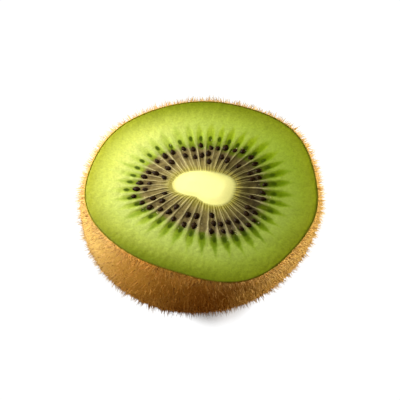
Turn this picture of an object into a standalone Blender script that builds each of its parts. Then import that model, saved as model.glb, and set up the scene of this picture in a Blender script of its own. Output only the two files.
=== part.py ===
"""Half a kiwi fruit, cut across and standing on its stem end with the cut face up, as one solid.

Frame: metres, +Z up, the origin on the ground under the middle of the fruit's outline.
Directions round the fruit are turns of an ellipse's own angle: 0 at +X, a quarter turn at +Y.
"""

import math

import bmesh
import bpy

MM = 0.001

# Driving dimensions
CUT_WIDTH = 54.1 * MM  # the cut face, along X
CUT_DEPTH = 49.0 * MM  # the cut face, along Y
HEIGHT = 32.0 * MM  # from the ground to the cut
WIDEST_BELOW_CUT = 6.8 * MM
BLUNTNESS = 2.2  # exponent of the upright profile: 2 is an ellipse, more is blunter
FLAT_SPOT = 7.0 * MM  # radius of the flat spot that the fruit stands on

# Uneven growth. A lobe is (waves round the fruit, share of the radius, direction of its peak in degrees).
CUT_LOBES = (
    (1, 0.033, 38),
    (2, 0.022, -30),
    (3, 0.028, 58),
    (4, 0.015, 26),
    (5, 0.006, -10),
    (6, 0.005, -13),
    (7, 0.008, -16),
)
BELLY_LOBES = ((1, 0.011, 136), (2, 0.027, 38))
LOBES_FADE = 6.0 * MM  # how far below the cut its outline turns into the belly's

# The cut face
LOCULES = 40  # seed chambers round the core
CORE_WIDTH = 14.5 * MM
CORE_DEPTH = 9.2 * MM
CORE_CENTRE = (0.7 * MM, 0.5 * MM)  # from the middle of the cut
CORE_LOBES = ((1, 0.145, 48), (2, 0.138, -37), (3, 0.081, 53), (4, 0.050, 24))
SKIN_THICKNESS = 0.4 * MM
SKIN_LIP = 0.25 * MM  # how far the skin's edge stands above the walls between the chambers
FLESH_DIP = 0.1 * MM  # how far below the skin's edge the outer flesh and the core's crown lie
CHAMBER_DIP = 0.5 * MM  # how deep the seed chambers sink between the walls that part them
CORE_DIP = 0.15 * MM  # how far the core's edge sinks below the walls
# Where the chambers begin, end and run out to nothing, as shares of the way from the core to the skin
CHAMBERS_BEGIN = 0.06
CHAMBERS_END = 0.50
CHAMBER_TIPS = 0.64

# The stem scar, a woody button in a groove in the middle of the flat spot
BUTTON_RADIUS = 2.4 * MM
GROOVE_RADIUS = 4.2 * MM
GROOVE_DEPTH = 0.6 * MM

COLUMNS_PER_LOCULE = 3  # one on the wall between two chambers and two in the chamber
COLUMNS = LOCULES * COLUMNS_PER_LOCULE
BELLY_RINGS = 12
SHARP_ANGLE = math.radians(40)

MATERIALS = {
    "kiwi_skin": ((0.30, 0.15, 0.04), 0.80),
    "kiwi_flesh": ((0.42, 0.60, 0.08), 0.35),
    "kiwi_core": ((0.86, 0.84, 0.42), 0.40),
    "kiwi_scar": ((0.16, 0.09, 0.04), 0.85),
}
SKIN, FLESH, CORE, SCAR = range(len(MATERIALS))


def lobed(turn, lobes):
    """The radius at a turn, as a share of the plain ellipse's."""
    return 1 + sum(share * math.cos(waves * (turn - math.radians(peak))) for waves, share, peak in lobes)


def ellipse_point(turn, width, depth, lobes, centre=(0.0, 0.0)):
    radius = lobed(turn, lobes)
    return (
        centre[0] + width / 2 * radius * math.cos(turn),
        centre[1] + depth / 2 * radius * math.sin(turn),
    )


def profile(below_cut):
    """The fruit's half-width at a depth below the cut, as a share of that at the cut.

    Its upright section is a superellipse about the widest level, long enough that the ground trims it
    to the flat spot.
    """
    flat_share = FLAT_SPOT / (CUT_WIDTH / 2)
    trimmed = (1 - flat_share**BLUNTNESS) ** (1 / BLUNTNESS)
    half_length = (HEIGHT - WIDEST_BELOW_CUT) / trimmed

    def width_at(depth):
        reach = abs(depth - WIDEST_BELOW_CUT) / half_length
        return (1 - reach**BLUNTNESS) ** (1 / BLUNTNESS)

    return width_at(below_cut) / width_at(0.0)


def belly_ring(below_cut):
    """One level section: the cut's own outline at the top, fading into the belly's further down."""
    fade = math.exp(-((below_cut / LOBES_FADE) ** 2))
    lobes = [(waves, share * fade, peak) for waves, share, peak in CUT_LOBES]
    lobes += [(waves, share * (1 - fade), peak) for waves, share, peak in BELLY_LOBES]
    width = profile(below_cut)
    ring = []
    for column in range(COLUMNS):
        x, y = ellipse_point(turn_of(column), CUT_WIDTH * width, CUT_DEPTH * width, lobes)
        ring.append((x, y, HEIGHT - below_cut))
    return ring


def turn_of(column):
    return 2 * math.pi * column / COLUMNS


def disc_ring(radius, height):
    """A level circle, for the stem scar."""
    return [
        (radius * math.cos(turn_of(column)), radius * math.sin(turn_of(column)), height)
        for column in range(COLUMNS)
    ]


def face_ring(way_out, drop, chamber_drop=0.0):
    """A ring on the cut face, at a share of the way from the core's outline to the cut's own.

    Between the walls, the chambers lie lower by chamber_drop.
    """
    ring = []
    for column in range(COLUMNS):
        turn = turn_of(column)
        core = ellipse_point(turn, CORE_WIDTH, CORE_DEPTH, CORE_LOBES, CORE_CENTRE)
        rim = ellipse_point(turn, CUT_WIDTH, CUT_DEPTH, CUT_LOBES)
        x, y = (inner + (outer - inner) * way_out for inner, outer in zip(core, rim))
        on_wall = column % COLUMNS_PER_LOCULE == 0
        ring.append((x, y, HEIGHT - drop - (0.0 if on_wall else chamber_drop)))
    return ring


def core_ring(share, drop):
    """A ring inside the core's outline, at a share of the way from its centre."""
    width, depth = CORE_WIDTH * share, CORE_DEPTH * share
    ring = []
    for column in range(COLUMNS):
        x, y = ellipse_point(turn_of(column), width, depth, CORE_LOBES, CORE_CENTRE)
        ring.append((x, y, HEIGHT - drop))
    return ring


def cut_face_rings():
    """The cut face from the skin's lip inwards, over the outer flesh and the chambers to the core."""
    skin_share = SKIN_THICKNESS / (CUT_WIDTH / 2)
    return [
        (SKIN, face_ring(1 - skin_share, 0.0)),
        (FLESH, face_ring(1 - 2 * skin_share, SKIN_LIP)),
        (FLESH, face_ring((1 + CHAMBER_TIPS) / 2, FLESH_DIP)),
        (FLESH, face_ring(CHAMBER_TIPS, FLESH_DIP)),
        (FLESH, face_ring(CHAMBERS_END, SKIN_LIP, CHAMBER_DIP)),
        (FLESH, face_ring(CHAMBERS_END / 2, SKIN_LIP, CHAMBER_DIP)),
        (FLESH, face_ring(CHAMBERS_BEGIN, SKIN_LIP, CHAMBER_DIP / 2)),
        (FLESH, face_ring(0.0, SKIN_LIP + CORE_DIP)),
        (CORE, core_ring(3 / 4, FLESH_DIP)),
        (CORE, core_ring(1 / 3, FLESH_DIP)),
    ]


def rings_from_scar_to_core():
    """Every ring with the material of the band that leads to it, from the button under the fruit,
    round the belly and over the rim, to the core's crown."""
    rings = [
        (SCAR, disc_ring(BUTTON_RADIUS, 0.0)),
        (SCAR, disc_ring((BUTTON_RADIUS + GROOVE_RADIUS) / 2, GROOVE_DEPTH)),
        (SKIN, disc_ring(GROOVE_RADIUS, 0.0)),
    ]
    for step in range(BELLY_RINGS + 1):
        # Even steps of angle put the rings closer together near the ground, where the profile turns in.
        below_cut = HEIGHT * math.cos(math.pi / 2 * step / BELLY_RINGS)
        rings.append((SKIN, belly_ring(below_cut)))
    return rings + cut_face_rings()


def middle(rings):
    """The middle of the fruit's outline as seen from above."""
    xs = [x for _, ring in rings for x, _, _ in ring]
    ys = [y for _, ring in rings for _, y, _ in ring]
    return (min(xs) + max(xs)) / 2, (min(ys) + max(ys)) / 2


def make_materials(mesh):
    for name, (colour, roughness) in MATERIALS.items():
        material = bpy.data.materials.new(name)
        material.use_nodes = True
        shader = material.node_tree.nodes["Principled BSDF"]
        shader.inputs["Base Color"].default_value = (*colour, 1.0)
        shader.inputs["Roughness"].default_value = roughness
        mesh.materials.append(material)


def loft(name, rings, bottom, top, origin):
    """A closed mesh through the rings, with a fan of faces to a point at each end.

    It is moved level, so that origin comes to (0, 0).
    """
    mesh = bpy.data.meshes.new(name)
    make_materials(mesh)
    shape = bmesh.new()
    rows = [[shape.verts.new(point) for point in ring] for _, ring in rings]
    for below, above, (band, _) in zip(rows, rows[1:], rings[1:]):
        for column in range(COLUMNS):
            after = (column + 1) % COLUMNS
            face = shape.faces.new((below[column], below[after], above[after], above[column]))
            face.material_index = band
    for row, tip, band in ((rows[0][::-1], bottom, rings[0][0]), (rows[-1], top, rings[-1][0])):
        point = shape.verts.new(tip)
        for column in range(COLUMNS):
            face = shape.faces.new((row[column], row[(column + 1) % COLUMNS], point))
            face.material_index = band
    bmesh.ops.translate(shape, verts=shape.verts, vec=(-origin[0], -origin[1], 0.0))
    shape.to_mesh(mesh)
    shape.free()
    mesh.shade_smooth()
    mesh.set_sharp_from_angle(angle=SHARP_ANGLE)
    return mesh


def main():
    for leftover in list(bpy.data.objects):
        bpy.data.objects.remove(leftover)
    rings = rings_from_scar_to_core()
    crown = (*CORE_CENTRE, HEIGHT - FLESH_DIP)
    mesh = loft("kiwi_half", rings, (0.0, 0.0, 0.0), crown, middle(rings))
    parts = bpy.data.collections.new("kiwi")
    bpy.context.scene.collection.children.link(parts)
    parts.objects.link(bpy.data.objects.new("kiwi_half", mesh))


main()
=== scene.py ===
"""Half a kiwi fruit, cut across: its cut flesh, core, seeds, downy skin and stem scar, and a small studio.

Directions round the fruit are turns of an ellipse's own angle: 0 at +X, a quarter turn at +Y. The way out
is the share of the straight line from the core's outline to the cut's own outline at the same turn; it is
below 0 inside the core. The cut face is laid out by chambers: 40 of them, with a wall at each whole number.
"""

import math

import bpy
import numpy as np
from bpy.props import FloatProperty, FloatVectorProperty, IntProperty, PointerProperty
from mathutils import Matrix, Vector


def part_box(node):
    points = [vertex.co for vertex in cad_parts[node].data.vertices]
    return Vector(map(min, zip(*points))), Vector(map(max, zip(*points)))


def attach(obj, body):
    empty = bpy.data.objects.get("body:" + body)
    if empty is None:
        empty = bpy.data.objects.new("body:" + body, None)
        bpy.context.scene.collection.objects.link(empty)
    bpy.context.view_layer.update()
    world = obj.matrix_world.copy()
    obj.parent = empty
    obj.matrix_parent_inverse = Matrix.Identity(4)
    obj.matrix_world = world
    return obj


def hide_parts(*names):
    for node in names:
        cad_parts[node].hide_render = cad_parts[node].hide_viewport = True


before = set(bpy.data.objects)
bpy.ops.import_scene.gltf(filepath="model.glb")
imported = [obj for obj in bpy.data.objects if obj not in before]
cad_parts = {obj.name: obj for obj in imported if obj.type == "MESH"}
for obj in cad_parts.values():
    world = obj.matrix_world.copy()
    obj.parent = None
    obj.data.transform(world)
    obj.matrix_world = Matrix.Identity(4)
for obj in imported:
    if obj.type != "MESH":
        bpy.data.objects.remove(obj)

bl_info = {
    "name": "Kiwi Fruit Half",
    "version": (1, 0, 0),
    "blender": (4, 5, 0),
    "location": "3D View > Sidebar > Kiwi",
    "description": "Makes a cut kiwi fruit: flesh, core, seeds, skin, down and stem scar",
    "category": "Add Mesh",
}

NODE = "kiwi_half"
MM = 0.001
FRAME_LOW, FRAME_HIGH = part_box(NODE)
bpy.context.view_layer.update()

# Uneven growth. A lobe is (waves round the fruit, share of the radius, direction of its peak in degrees).
CUT_LOBES = (
    (1, 0.033, 38),
    (2, 0.022, -30),
    (3, 0.028, 58),
    (4, 0.015, 26),
    (5, 0.006, -10),
    (6, 0.005, -13),
    (7, 0.008, -16),
)
BELLY_LOBES = ((1, 0.011, 136), (2, 0.027, 38))
CORE_LOBES = ((1, 0.145, 48), (2, 0.138, -37), (3, 0.081, 53), (4, 0.050, 24))
# How the walls crowd together and spread apart: (waves, degrees, direction of the peak in degrees).
WALL_DRIFT = ((1, 2.24, -23), (2, 0.99, 88), (3, 2.58, 36), (5, 0.52, -5))
# How far the walls slant aside by the time that they reach the core, in the same terms.
WALL_SLANT = ((1, 3.2, 20), (2, 2.4, 89), (3, 3.8, 21))
SLANT_ENDS = 0.42  # the way out from which the walls run straight
FIRST_WALL = -0.59  # direction of the first wall before its drift, in degrees
# Where the rings of seeds swell out and sink in: (share of the way, direction, spread, both in degrees).
OUTER_BELLS = (
    (0.05, 55, 14),
    (0.09, 188, 18),
    (-0.03, 150, 16),
    (0.05, 250, 14),
    (0.055, 312, 12),
    (-0.03, 15, 14),
)
INNER_BELLS = ((0.07, 185, 24), (0.03, 250, 12), (0.035, 298, 16), (-0.05, 145, 12), (-0.03, 35, 20))
BURIED_BELLS = ((0.07, 181, 12), (0.015, 148, 12), (-0.035, 112, 12), (-0.03, 312, 12), (-0.025, 35, 20))
# The lip's section, as (inwards, down) steps from the rim in peel thicknesses.
LIP_STEPS = ((0.04, 0.1), (0.2, 0.02), (0.45, 0.0), (0.72, 0.04), (0.92, 0.2), (1.0, 0.6), (1.0, 3.0))
LIP_START = 0.12 * MM  # how far below the cut the skin's outside ends and its lip begins
CORE_FOOT = 0.12 * MM  # how far the cut sinks below the walls along the core's outline
FLESH_FLOOR = 2.2 * MM  # height of the flesh's underside, which the skin hides
PEEL_FLOOR = 1.2 * MM  # height of the peel's inside at the bottom
LONGEST_HAIR = 2.2 * MM
TIPS_ABOVE_CUT = 0.8 * MM  # the highest that a hair's tip stands
COLUMNS_PER_CHAMBER = 16
CORE_MIDDLE = -0.3  # the core's middle on the map of the cut, as a way out
# The rings of points on the cut, as ways out: close together over the rim and the chambers.
CUT_WAYS = np.concatenate(
    [np.linspace(0.9915, 0.93, 10), np.linspace(0.92, 0.66, 17), np.linspace(0.65, 0.0, 78)]
)
# The scar's section, as (share of the button's radius, height in millimetres), from its pit outwards.
SCAR_STEPS = (
    (0.15, 0.35),
    (0.3, 0.22),
    (0.42, 0.05),
    (0.6, 0.02),
    (0.8, 0.0),
    (0.94, 0.06),
    (1.0, 0.2),
    (0.96, 0.7),
)


# ---------------------------------------------------------------- sizes and colours


def length(name, description, millimetres):
    return FloatProperty(
        name=name, description=description, default=millimetres * MM, min=0.0, unit="LENGTH", precision=5
    )


def share(name, description, default):
    return FloatProperty(name=name, description=description, default=default, min=0.0, max=1.0)


def watts(name, description, default):
    return FloatProperty(name=name, description=description, default=default, min=0.0, unit="POWER")


def whole(name, description, default):
    return IntProperty(name=name, description=description, default=default, min=6)


def linear(screen):
    """A screen value from 0 to 255 as the light that it stands for."""
    value = screen / 255
    return value / 12.92 if value <= 0.04045 else ((value + 0.055) / 1.055) ** 2.4


def colour(name, description, *screen):
    return FloatVectorProperty(
        name=name,
        description=description,
        subtype="COLOR",
        size=3,
        min=0.0,
        max=1.0,
        default=tuple(linear(part) for part in screen),
    )


class KiwiShape(bpy.types.PropertyGroup):
    """The fruit's own form."""

    height: FloatProperty(
        name="Height",
        description="From the ground to the cut",
        default=FRAME_HIGH.z - FRAME_LOW.z,
        unit="LENGTH",
    )
    cut_width: length("Cut width", "The cut face along X", 54.1)
    cut_depth: length("Cut depth", "The cut face along Y", 49.0)
    widest: length("Widest below the cut", "Depth of the fruit's widest level", 6.8)
    bluntness: FloatProperty(
        name="Bluntness", description="Exponent of the upright profile; 2 is an ellipse", default=2.2
    )
    flat_spot: length("Flat spot", "Radius of the flat spot that it stands on", 7.0)
    lobes_fade: length("Lobes fade", "How far down the cut's outline turns into the belly's", 6.0)
    core_width: length("Core width", "The core along X", 14.5)
    core_depth: length("Core depth", "The core along Y", 9.2)
    core_x: length("Core X", "The core's place from the middle of the cut, along X", 0.7)
    core_y: length("Core Y", "The core's place from the middle of the cut, along Y", 0.5)
    chambers: whole("Chambers", "Seed chambers round the core", 40)
    skin_thickness: length("Skin thickness", "Thickness of the peel at the cut", 0.22)
    chamber_dip: length("Chamber dip", "How deep the chambers sink between their walls", 0.14)
    wall_dip: length("Wall dip", "How far the walls lie below the skin's edge", 0.16)
    flesh_dip: length("Flesh dip", "How far the outer flesh lies below the skin's edge", 0.1)
    plug: length("Core plug", "How deep the core is made", 3.0)
    button: length("Stem button", "Radius of the stem scar's woody button", 2.4)
    groove: length("Stem groove", "Radius of the groove round the button", 4.2)
    groove_depth: length("Groove depth", "Depth of the groove round the button", 0.6)


class KiwiFlesh(bpy.types.PropertyGroup):
    """Colours of the cut face."""

    core: colour("Core", "Middle of the core", 252, 248, 161)
    core_edge: colour("Core edge", "Just outside the core", 176, 163, 72)
    flesh: colour("Flesh", "The outer flesh on the greener side", 149, 169, 55)
    # Flesh on the side the key light comes from: partly its own yellower tone, partly painted light.
    lit_side: colour("Sunny flesh", "The outer flesh on the yellower side", 178, 189, 90)
    wall: colour("Wall", "Pale walls between the chambers", 192, 180, 128)
    chamber: colour("Chamber", "Khaki jelly round the seeds", 128, 114, 66)
    # Used near the seeds both as the jelly's own dusky tinge and as painted shadow round each seed.
    shade: colour("Chamber shade", "Dusky tinge close to the seeds", 62, 48, 32)
    rim: colour("Rim line", "Dark line inside the skin", 90, 92, 12)


class KiwiSeeds(bpy.types.PropertyGroup):
    """The seeds."""

    length: length("Length", "Length of a seed", 1.68)
    width: length("Width", "Width of a seed", 1.16)
    thickness: length("Thickness", "Thickness of a seed", 0.8)
    outer_chance: share("Outer chance", "Share of the chambers with a seed in the outer ring", 0.93)
    inner_chance: share("Inner chance", "Share of the chambers with a seed in the inner ring", 0.7)
    third_chance: share("Third chance", "Share of the chambers with a third seed near the core", 0.1)
    coat: colour("Seed coat", "Colour of the seeds", 48, 32, 16)


class KiwiSkin(bpy.types.PropertyGroup):
    """The skin, its down and the stem scar."""

    skin: colour("Skin", "Main colour of the skin", 202, 165, 94)
    skin_dark: colour("Skin shade", "Dark mottling", 180, 138, 66)
    edge: colour("Cut edge", "The peel's edge at the cut", 102, 94, 12)
    hair: colour("Down", "Main colour of the down", 212, 172, 114)
    hair_dark: colour("Down shade", "The browner hairs", 134, 90, 40)
    short: length("Short down", "Length of the dense short down", 0.5)
    long: length("Long down", "Length of the longer hairs", 1.6)
    thick: length("Hair thickness", "Thickness of a hair at its root", 0.07)
    short_tufts: whole("Short tufts", "Tufts of short down", 12000)
    long_tufts: whole("Long tufts", "Tufts of longer hairs", 4000)
    edge_tufts: whole("Edge tufts", "Short tufts just below the cut", 3000)
    fringe_tufts: whole("Fringe tufts", "Long tufts just below the cut", 1500)
    wood: colour("Stem scar", "The dry stem scar", 96, 66, 40)


class KiwiStage(bpy.types.PropertyGroup):
    """Camera and light."""

    elevation: FloatProperty(
        name="Elevation",
        description="The camera's angle above the level",
        default=math.radians(60),
        subtype="ANGLE",
    )
    distance: length("Distance", "From the camera to its aim", 420.0)
    lens: FloatProperty(name="Lens", description="Focal length", default=162.1935, unit="CAMERA")
    aim_x: FloatProperty(name="Aim X", description="Aim across", default=-0.126 * MM, unit="LENGTH")
    aim_y: FloatProperty(name="Aim Y", description="Aim along", default=-3.129 * MM, unit="LENGTH")
    key: watts("Key", "Power of the window at the left", 0.19)
    left: watts("Left", "Power of the low light at the left", 0.315)
    right: watts("Right", "Power of the low light at the right", 0.66)
    back: watts("Back", "Power of the light behind", 0.2)
    front: watts("Front", "Power of the weak light in front", 0.155)
    paper: FloatProperty(name="Paper", description="Brightness of the floor", default=1.05)


# ---------------------------------------------------------------- the fruit's form


def smooth(low, high, value):
    """Smoothstep: 0 below low, 1 above high, 3s^2 - 2s^3 between."""
    s = np.clip((value - low) / (high - low), 0.0, 1.0)
    return s * s * (3 - 2 * s)


def turns(columns):
    """Even turns round the fruit."""
    return np.linspace(0, 2 * math.pi, columns, endpoint=False)


def unit(vectors):
    """Each vector over its own length."""
    return vectors / np.linalg.norm(vectors, axis=-1, keepdims=True)


def turned(a, b, angle):
    """(a, b) turned by an angle: (a cos - b sin, a sin + b cos)."""
    return a * np.cos(angle) - b * np.sin(angle), a * np.sin(angle) + b * np.cos(angle)


def bump(turn, centre, spread):
    """A bell round the fruit: exp(-(angle from centre / spread)^2), both in degrees."""
    away = (np.degrees(turn) - centre + 180) % 360 - 180
    return np.exp(-((away / spread) ** 2))


def ripples(points, spacing, number):
    """Soft lumps from about -1 to 1: 20 sine waves in random directions, each about spacing long, summed
    and divided by sqrt(2 * 20)."""
    random = np.random.default_rng(number)
    way = random.normal(size=(20, 3))
    way *= (2 * math.pi / (spacing * random.uniform(0.7, 1.5, 20)) / np.linalg.norm(way, axis=1))[:, None]
    waves = np.sin(points @ way.T + random.uniform(0, 2 * math.pi, 20))
    return waves.sum(-1) / math.sqrt(20 * 2)


def lobed(turn, lobes):
    """Radius share = 1 + the sum of share * cos(waves * (turn - peak))."""
    radius = np.ones_like(turn)
    for waves, size, peak in lobes:
        radius = radius + size * np.cos(waves * (turn - math.radians(peak)))
    return radius


def profile(shape, below_cut):
    """Half-width at a depth, as a share of that at the cut: a superellipse about the widest level,
    (1 - reach^n)^(1/n), long enough that the ground trims it to the flat spot."""
    n = shape.bluntness
    flat = shape.flat_spot / (shape.cut_width / 2)
    half_length = (shape.height - shape.widest) / (1 - flat**n) ** (1 / n)

    def width_at(depth):
        return (1 - np.abs((depth - shape.widest) / half_length) ** n) ** (1 / n)

    return width_at(below_cut) / width_at(0.0)


def belly(shape, turn, below_cut):
    """The skin's surface: (half width, half depth) * profile * radius * (cos, sin) of the turn.

    The radius fades from the cut's lobes to the belly's by exp(-(depth / fade)^2).
    """
    fade = np.exp(-((below_cut / shape.lobes_fade) ** 2))
    radius = fade * lobed(turn, CUT_LOBES) + (1 - fade) * lobed(turn, BELLY_LOBES)
    radius = radius * profile(shape, below_cut)
    x = shape.cut_width / 2 * radius * np.cos(turn)
    y = shape.cut_depth / 2 * radius * np.sin(turn)
    return np.stack([x, y, shape.height - below_cut + 0.0 * turn], -1)


def placed(shape, points):
    """Points moved level, so that the outline's middle comes to the middle of the frame's box."""
    turn = np.linspace(0, 2 * math.pi, 241)[None, :]
    depth = shape.height * np.sin(np.linspace(0, math.pi / 2, 60))[:, None]
    outline = belly(shape, turn, depth).reshape(-1, 3)
    middle = (outline.min(0) + outline.max(0)) / 2
    target = (np.array(FRAME_LOW) + np.array(FRAME_HIGH)) / 2
    shift = target - middle
    return points + np.array([shift[0], shift[1], FRAME_LOW.z])


def swing(degrees, waves_list):
    """The sum of size * cos(waves * (angle - peak)), all in degrees."""
    return sum(size * np.cos(np.radians(waves * (degrees - peak))) for waves, size, peak in waves_list)


def wall_turn(shape, phase, way=0.5):
    """The turn at a chamber phase and a way out.

    The walls stand in even steps, shifted by their drift and a little chance for each. Nearer the core
    than where their slant ends they curve aside, by the share of that way that is left, to the power 1.5.
    """
    fine = np.linspace(-90, 450, 5401)
    steady = (fine - swing(fine, WALL_DRIFT) - FIRST_WALL) * shape.chambers / 360
    degrees = np.interp(phase, steady, fine)
    random = np.random.default_rng(31).normal(0, 0.55, shape.chambers)
    knots = np.arange(-shape.chambers, 2 * shape.chambers)
    degrees = degrees + np.interp(phase, knots, np.tile(random, 3))
    inward = np.clip((SLANT_ENDS - way) / SLANT_ENDS, 0, 1) ** 1.5
    return np.radians(degrees + inward * swing(degrees, WALL_SLANT))


def cut_point(shape, turn, way):
    """(x, y) on the cut: core outline + way * (rim - core outline), at the same turn."""
    core_radius, rim_radius = lobed(turn, CORE_LOBES), lobed(turn, CUT_LOBES)
    across, along = np.cos(turn), np.sin(turn)
    core = (shape.core_x + shape.core_width / 2 * core_radius * across,
            shape.core_y + shape.core_depth / 2 * core_radius * along)
    rim = (shape.cut_width / 2 * rim_radius * across, shape.cut_depth / 2 * rim_radius * along)
    return [inner + (outer - inner) * way for inner, outer in zip(core, rim)]


def off_wall(phase):
    """Distance from the nearest wall, from 0 on it to 0.5 in mid-chamber."""
    part = phase % 1.0
    return np.minimum(part, 1 - part)


def wall_half_width(way):
    """Half-width of a wall in chambers: 0.06, and by smoothstep 0.1 more round way 0.35, 0.26 more from
    0.52 and 0.1 more from 0.66, where it fills the chamber."""
    half = 0.06 + 0.1 * smooth(0.28, 0.42, way)
    return half + 0.26 * smooth(0.52, 0.7, way) + 0.1 * smooth(0.66, 0.8, way)


def face_drop(shape, phase, way):
    """How far the cut face lies below the skin's edge: a sum of dips that come and go by smoothstep.

    The outer flesh is nearly level and rolls down at the rim; the walls lie a little lower and the
    chambers between them sink further, each by its own amount.
    """
    inside = 1 - smooth(0.45, 0.66, way)
    drop = shape.flesh_dip + (shape.wall_dip - shape.flesh_dip) * inside
    drop = drop + 0.05 * MM * smooth(0.97, 1.0, way)
    across = smooth(0.0, 0.24, off_wall(phase) - 0.5 * wall_half_width(way))
    depth = np.random.default_rng(9).uniform(0.75, 1.2, shape.chambers)
    depth = depth[np.floor(phase).astype(int) % shape.chambers]
    along = smooth(0.0, 0.09, way) * (1 - smooth(0.44, 0.68, way))
    drop = drop + shape.chamber_dip * depth * across * along
    return drop + CORE_FOOT * (1 - smooth(0.0, 0.05, way))


def core_drop(shape, reach):
    """The core's crown: level in the middle and rolled down to the walls' foot at its outline, by
    smoothstep to the power 1.5 of the share of the way from its middle."""
    crown = shape.flesh_dip * 0.6
    return crown + (shape.wall_dip + CORE_FOOT - crown) * smooth(0.45, 1.0, reach) ** 1.5


# ---------------------------------------------------------------- meshes


def added(name, data):
    """A new object in the scene."""
    item = bpy.data.objects.new(name, data)
    bpy.context.scene.collection.objects.link(item)
    return item


def make_piece(name, points, groups, material, corner_uv=None, attributes=(), normals=None):
    """A piece from an array of points and arrays of faces, each array with one number of corners."""
    mesh = bpy.data.meshes.new(name)
    corners = np.concatenate([group.ravel() for group in groups]).astype(np.int32)
    sizes = np.concatenate([np.full(len(group), group.shape[1]) for group in groups]).astype(np.int32)
    mesh.vertices.add(len(points))
    mesh.vertices.foreach_set("co", points.astype(np.float32).ravel())
    mesh.loops.add(len(corners))
    mesh.loops.foreach_set("vertex_index", corners)
    mesh.polygons.add(len(sizes))
    mesh.polygons.foreach_set("loop_start", (np.cumsum(sizes) - sizes).astype(np.int32))
    mesh.polygons.foreach_set("use_smooth", np.ones(len(sizes), bool))
    mesh.update(calc_edges=True)
    if corner_uv is not None:
        layer = mesh.uv_layers.new(name="layout")
        layer.uv.foreach_set("vector", corner_uv.astype(np.float32).ravel())
    for label, values in dict(attributes).items():
        layer = mesh.attributes.new(label, "FLOAT", "POINT")
        layer.data.foreach_set("value", values.astype(np.float32).ravel())
    mesh.materials.append(material)
    if mesh.validate(verbose=False):
        raise RuntimeError(f"{name}: the mesh had faults")
    if normals is not None:
        mesh.normals_split_custom_set_from_vertices(normals)
    piece = added(name, mesh)
    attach(piece, "root")
    return piece


def loft(rings, rows, start, end, start_row, end_row):
    """A closed skin through rings of points: quads between neighbours, and a fan to a point at each end.

    Gives the points, the faces and each corner's (column share, row value).
    """
    count, columns = rings.shape[:2]
    points = np.concatenate([rings.reshape(-1, 3), [start], [end]])
    column = np.arange(columns)
    after = (column + 1) % columns
    base = np.arange(count - 1)[:, None] * columns
    quads = np.stack([base + column, base + after, base + columns + after, base + columns + column], -1)
    low = np.stack([after, column, np.full(columns, count * columns)], -1)
    top = (count - 1) * columns
    high = np.stack([top + column, top + after, np.full(columns, count * columns + 1)], -1)
    u, v = column / columns, (column + 1) / columns
    middle = (u + v) / 2
    quad_u = np.broadcast_to(np.stack([u, v, v, u], -1), (count - 1, columns, 4))
    lower, upper = rows[:-1, None, None], rows[1:, None, None]
    quad_v = np.concatenate([lower, lower, upper, upper], -1) + 0.0 * quad_u
    quad_uv = np.stack([quad_u, quad_v], -1).reshape(-1, 2)
    low_uv = np.stack([v, 0 * u + rows[0], u, 0 * u + rows[0], middle, 0 * u + start_row], -1)
    high_uv = np.stack([u, 0 * u + rows[-1], v, 0 * u + rows[-1], middle, 0 * u + end_row], -1)
    uv = np.concatenate([quad_uv, low_uv.reshape(-1, 2), high_uv.reshape(-1, 2)])
    return points, [quads.reshape(-1, 4), np.concatenate([low, high])], uv


# ---------------------------------------------------------------- finishes


class Wire:
    """A node's output. Sums and products of wires and numbers add the nodes that work them out."""

    def __init__(self, finish, socket):
        self.finish, self.socket = finish, socket

    def __add__(self, other):
        return self.finish.math("ADD", self, other)

    def __mul__(self, other):
        return self.finish.math("MULTIPLY", self, other)

    def __sub__(self, other):
        return self.finish.math("SUBTRACT", self, other)

    def __rsub__(self, other):
        return self.finish.math("SUBTRACT", other, self)

    __radd__, __rmul__ = __add__, __mul__

    def smooth(self, low, high, first=0.0, last=1.0):
        """From first at low to last at high by smoothstep, and level beyond them."""
        inputs = {"Value": self, "From Min": low, "From Max": high, "To Min": first, "To Max": last}
        return self.finish.add("ShaderNodeMapRange", inputs, interpolation_type="SMOOTHSTEP")

    def band(self, rise, high, fall, low):
        """0 up to rise, 1 from high to fall, and 0 again from low."""
        return self.smooth(rise, high) * self.smooth(low, fall)

    def fold(self):
        """How far the value is from the nearest whole number."""
        return self.finish.math("PINGPONG", self, 0.5)


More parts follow.
